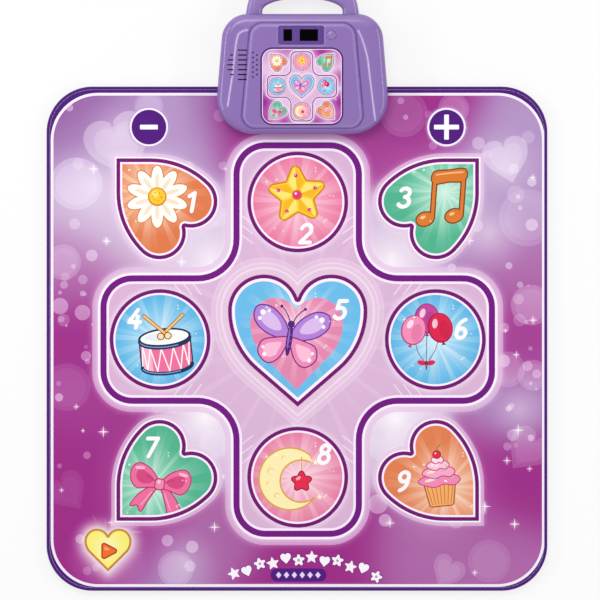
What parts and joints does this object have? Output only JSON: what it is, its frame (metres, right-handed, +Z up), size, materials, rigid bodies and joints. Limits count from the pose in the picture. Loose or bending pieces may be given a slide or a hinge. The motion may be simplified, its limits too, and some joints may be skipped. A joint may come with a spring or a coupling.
{
  "type": "electronic dance mat",
  "caption": "Square padded play mat with round and heart-shaped step pads, and a purple battery control box with display, light panel, speaker and carry handle.",
  "frame": {"origin": "on the floor under the centre of the pad grid", "axes": "+X to the player's right, +Y from the player towards the control box, +Z up"},
  "size_m": [0.8413, 1.022, 0.054],
  "materials": {
    "non_slip_rubber": "matt, fine texture",
    "clear_film": "smooth film",
    "carbon_ink": "printed, matt",
    "white_foam": "open foam",
    "printed_vinyl": "printed, satin",
    "binding_tape": "satin tape",
    "purple_plastic": "glossy moulding",
    "deep_purple_plastic": "glossy moulding",
    "smoked_plastic": "smoked, glossy",
    "lit_label": "printed, translucent",
    "white_plastic": "satin moulding",
    "black_plastic": "satin moulding",
    "circuit_board": "green lacquer",
    "cone_paper": "pressed paper",
    "speaker_steel": "plated",
    "cell_jacket": "glossy jacket",
    "nickel_steel": "nickel plate",
    "screw_steel": "zinc plate"
  },
  "bodies": {
    "mat_and_box": {"backing_sheet": "non_slip_rubber", "base_shell": "purple_plastic", "battery_cell_1": "cell_jacket", "battery_cell_2": "cell_jacket", "battery_cell_3": "cell_jacket", "carry_handle": "purple_plastic", "case_screw_1": "screw_steel", "case_screw_2": "screw_steel", "clamp_plate": "black_plastic", "clamp_screw_1": "screw_steel", "clamp_screw_2": "screw_steel", "contact_bar_left": "nickel_steel", "contact_bar_right": "nickel_steel", "contact_print": "carbon_ink", "cover_sheet": "printed_vinyl", "display_bezel": "deep_purple_plastic", "display_lens": "smoked_plastic", "edge_binding": "binding_tape", "lamp_strip": "white_plastic", "level_digit": "smoked_plastic", "light_grid": "white_plastic", "light_label": "lit_label", "lower_film": "clear_film", "main_board": "circuit_board", "mode_switch": "black_plastic", "panel_board": "circuit_board", "pocket_foam": "white_foam", "power_switch": "black_plastic", "return_foam": "white_foam", "ribbon_connector": "white_plastic", "ribbon_tail": "clear_film", "rubber_foot_left": "non_slip_rubber", "rubber_foot_right": "non_slip_rubber", "score_digits": "smoked_plastic", "sound_chip": "black_plastic", "spacer_film": "white_foam", "speaker_cone": "cone_paper", "speaker_frame": "speaker_steel", "speaker_magnet": "speaker_steel", "top_shell": "purple_plastic", "upper_film": "clear_film"},
    "pad_1": {"pad_1": "printed_vinyl"},
    "pad_2": {"pad_2": "printed_vinyl"},
    "pad_3": {"pad_3": "printed_vinyl"},
    "pad_4": {"pad_4": "printed_vinyl"},
    "pad_5": {"pad_5": "printed_vinyl"},
    "pad_6": {"pad_6": "printed_vinyl"},
    "pad_7": {"pad_7": "printed_vinyl"},
    "pad_8": {"pad_8": "printed_vinyl"},
    "pad_9": {"pad_9": "printed_vinyl"},
    "minus_pad": {"minus_pad": "printed_vinyl"},
    "plus_pad": {"plus_pad": "printed_vinyl"},
    "start_pad": {"start_pad": "printed_vinyl"},
    "mode_button": {"mode_button": "purple_plastic"},
    "power_knob": {"power_knob": "black_plastic"},
    "battery_door": {"battery_door": "purple_plastic", "door_screw_1": "screw_steel", "door_screw_2": "screw_steel"}
  },
  "joints": [
    {"name": "pad_1_press", "type": "slide", "parent": "mat_and_box", "child": "pad_1", "axis": [0, 0, -1], "range_m": [0, 0.0015], "stiffness_N_per_m": 8000, "springref_m": -0.0006, "deforming": ["return_foam"]},
    {"name": "pad_2_press", "type": "slide", "parent": "mat_and_box", "child": "pad_2", "axis": [0, 0, -1], "range_m": [0, 0.0015], "stiffness_N_per_m": 8000, "springref_m": -0.0006, "deforming": ["return_foam"]},
    {"name": "pad_3_press", "type": "slide", "parent": "mat_and_box", "child": "pad_3", "axis": [0, 0, -1], "range_m": [0, 0.0015], "stiffness_N_per_m": 8000, "springref_m": -0.0006, "deforming": ["return_foam"]},
    {"name": "pad_4_press", "type": "slide", "parent": "mat_and_box", "child": "pad_4", "axis": [0, 0, -1], "range_m": [0, 0.0015], "stiffness_N_per_m": 8000, "springref_m": -0.0006, "deforming": ["return_foam"]},
    {"name": "pad_5_press", "type": "slide", "parent": "mat_and_box", "child": "pad_5", "axis": [0, 0, -1], "range_m": [0, 0.0015], "stiffness_N_per_m": 8000, "springref_m": -0.0006, "deforming": ["return_foam"]},
    {"name": "pad_6_press", "type": "slide", "parent": "mat_and_box", "child": "pad_6", "axis": [0, 0, -1], "range_m": [0, 0.0015], "stiffness_N_per_m": 8000, "springref_m": -0.0006, "deforming": ["return_foam"]},
    {"name": "pad_7_press", "type": "slide", "parent": "mat_and_box", "child": "pad_7", "axis": [0, 0, -1], "range_m": [0, 0.0015], "stiffness_N_per_m": 8000, "springref_m": -0.0006, "deforming": ["return_foam"]},
    {"name": "pad_8_press", "type": "slide", "parent": "mat_and_box", "child": "pad_8", "axis": [0, 0, -1], "range_m": [0, 0.0015], "stiffness_N_per_m": 8000, "springref_m": -0.0006, "deforming": ["return_foam"]},
    {"name": "pad_9_press", "type": "slide", "parent": "mat_and_box", "child": "pad_9", "axis": [0, 0, -1], "range_m": [0, 0.0015], "stiffness_N_per_m": 8000, "springref_m": -0.0006, "deforming": ["return_foam"]},
    {"name": "minus_pad_press", "type": "slide", "parent": "mat_and_box", "child": "minus_pad", "axis": [0, 0, -1], "range_m": [0, 0.0015], "stiffness_N_per_m": 2000, "springref_m": -0.0006, "deforming": ["return_foam"]},
    {"name": "plus_pad_press", "type": "slide", "parent": "mat_and_box", "child": "plus_pad", "axis": [0, 0, -1], "range_m": [0, 0.0015], "stiffness_N_per_m": 2000, "springref_m": -0.0006, "deforming": ["return_foam"]},
    {"name": "start_pad_press", "type": "slide", "parent": "mat_and_box", "child": "start_pad", "axis": [0, 0, -1], "range_m": [0, 0.0015], "stiffness_N_per_m": 2000, "springref_m": -0.0006, "deforming": ["return_foam"]},
    {"name": "mode_button_press", "type": "slide", "parent": "mat_and_box", "child": "mode_button", "axis": [0, 0, -1], "range_m": [0, 0.001], "stiffness_N_per_m": 300, "springref_m": -0.0015},
    {"name": "power_knob_slide", "type": "slide", "parent": "mat_and_box", "child": "power_knob", "axis": [1, 0, 0], "range_m": [0, 0.004]},
    {"name": "battery_door_lift", "type": "slide", "parent": "mat_and_box", "child": "battery_door", "axis": [0, 0, -1], "range_m": [0, 0.012]}
  ]
}
